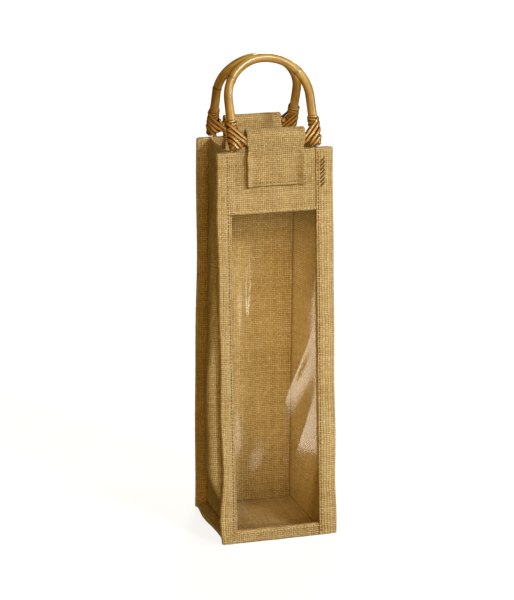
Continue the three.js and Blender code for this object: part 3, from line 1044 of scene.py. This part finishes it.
def add_floor():
    """A wide pale floor just under the bag. It shows and takes shadows, but throws no light back."""
    half = 15.0
    mesh = bpy.data.meshes.new("floor")
    corners = [(-half, -half, 0), (half, -half, 0), (half, half, 0), (-half, half, 0)]
    mesh.from_pydata(corners, [], [(0, 1, 2, 3)])
    mesh.materials.append(floor_material())
    floor = add_object("floor", mesh)
    floor.location.z = -0.3 * MM
    floor.visible_diffuse = False
    floor.visible_glossy = False


def add_backdrop():
    """A pale dome far outside everything, which only the camera sees."""
    bpy.ops.mesh.primitive_uv_sphere_add(segments=48, ring_count=24, radius=24)
    dome = bpy.context.object
    dome.name = "backdrop"
    n = Nodes("backdrop")
    glow = n.add("ShaderNodeEmission", Color=(1.0, 1.0, 1.0, 1))
    dome.data.materials.append(n.finish(glow))
    dome.visible_diffuse = False
    dome.visible_glossy = False
    dome.visible_transmission = False
    dome.visible_shadow = False


def add_light(name, kind, power, colour):
    """A light: its data and its object."""
    light = bpy.data.lights.new(name, kind)
    light.energy = power
    light.color = colour
    return light, add_object(name, light)


def facing_away(towards):
    """The rotation of a light that stands in this direction and shines back along it."""
    return Vector(towards).to_track_quat("Z", "Y").to_euler()


def add_sun(name, towards, strength, angle, colour):
    light, lamp = add_light(name, "SUN", strength, colour)
    light.angle = math.radians(angle)
    lamp.rotation_euler = facing_away(towards)


def add_area(name, size, power, colour):
    """A rectangular light that the camera doesn't see."""
    light, lamp = add_light(name, "AREA", power, colour)
    light.shape = "RECTANGLE"
    light.size, light.size_y = size
    lamp.visible_camera = False
    return lamp


def add_card(name, near, bearing, size, power, colour):
    """A long light on the floor for the film to mirror.

    It runs from near in a direction that is bearing degrees to the right of -Y.
    """
    angle = math.radians(bearing)
    to_middle = Vector((math.sin(angle), -math.cos(angle), 0)) * size[1] / 2
    lamp = add_area(name, size, power, colour)
    lamp.location = Vector((*near, 4 * MM)) + to_middle
    lamp.rotation_euler = (math.pi, 0, angle)


def add_window_glow():
    """A weak light inside the bag, behind the film, that brightens the inside of the back."""
    lamp = add_area("window_glow", (0.05, 0.25), 0.052, (1.0, 0.92, 0.72))
    middle = (BORDER_TOP + WINDOW_TOP) / 2
    lamp.location = (0, 35 * MM - HALF_BASE, middle)
    lamp.rotation_euler = facing_away((0, -1, 0))


def add_world():
    """Soft light from all round, which glossy surfaces don't mirror."""
    world = bpy.data.worlds.new("studio")
    bpy.context.scene.world = world
    world.cycles_visibility.glossy = False
    world.use_nodes = True
    background = world.node_tree.nodes["Background"]
    background.inputs["Color"].default_value = (1.0, 0.78, 0.40, 1)
    background.inputs["Strength"].default_value = 0.09


def add_camera():
    """A long lens from the front left, looking slightly down."""
    yaw, pitch, roll = np.radians([16.28, 15.28, 0.17])
    data = bpy.data.cameras.new("camera")
    data.sensor_width = 36
    data.lens = 138.7
    data.clip_end = 50
    camera = add_object("camera", data)
    camera.location = (-0.5745, -1.9521, 0.7691)
    camera.rotation_euler = (math.pi / 2 - pitch, roll, -yaw)
    bpy.context.scene.camera = camera


def build_stage():
    """The camera, the floor, the backdrop, the lights and the view transform."""
    add_camera()
    add_floor()
    add_backdrop()
    add_world()
    add_sun("key", (0.42, -0.90, 0.50), 1.16, 10, (0.98, 1.01, 1.08))
    add_sun("front", (-0.02, -0.96, 0.34), 0.4, 18, (1.0, 0.985, 0.95))
    add_sun("side", (0.90, -0.44, 0.40), 0.95, 8, (1.0, 0.97, 0.93))
    add_sun("fill", (-0.50, -0.82, 0.36), 0.84, 40, (1.0, 0.70, 0.24))
    add_sun("back", (0.36, 0.90, 0.28), 2.6, 20, (1.0, 0.96, 0.90))
    add_card("window_card", (0.14, -0.30), 22.5, (0.06, 1.2), 1.0, (1.0, 0.95, 0.86))
    add_card("front_card", (-0.02, -0.35), -2.0, (0.14, 1.0), 0.9, (1.0, 0.95, 0.86))
    add_window_glow()
    bpy.context.scene.view_settings.view_transform = "Standard"
    bpy.context.scene.view_settings.look = "Medium High Contrast"


# ---------------- assembly

build_stage()

panel("front_band_cloth", "front_top_band", FRONT, WINDOW_TOP, PANEL_TOP, WINDOW_HEM, MOUTH_HEM)
panel("front_border_cloth", "front_bottom_border", FRONT, PANEL_FOOT, BORDER_TOP, 0, WINDOW_HEM)
panel("back_cloth", "back_panel", BACK, PANEL_FOOT, PANEL_TOP, 0, MOUTH_HEM)
base_cloth()
window_film()
for side in (LEFT, RIGHT):
    gusset(side)
    base_binding(side)
    for face in (FRONT, BACK):
        upright_binding(side, face)
for face in (FRONT, BACK):
    tab(face)
    handle(face)
seam_stitches()
bar_tack()
hem_stitches()
tab_stitches()
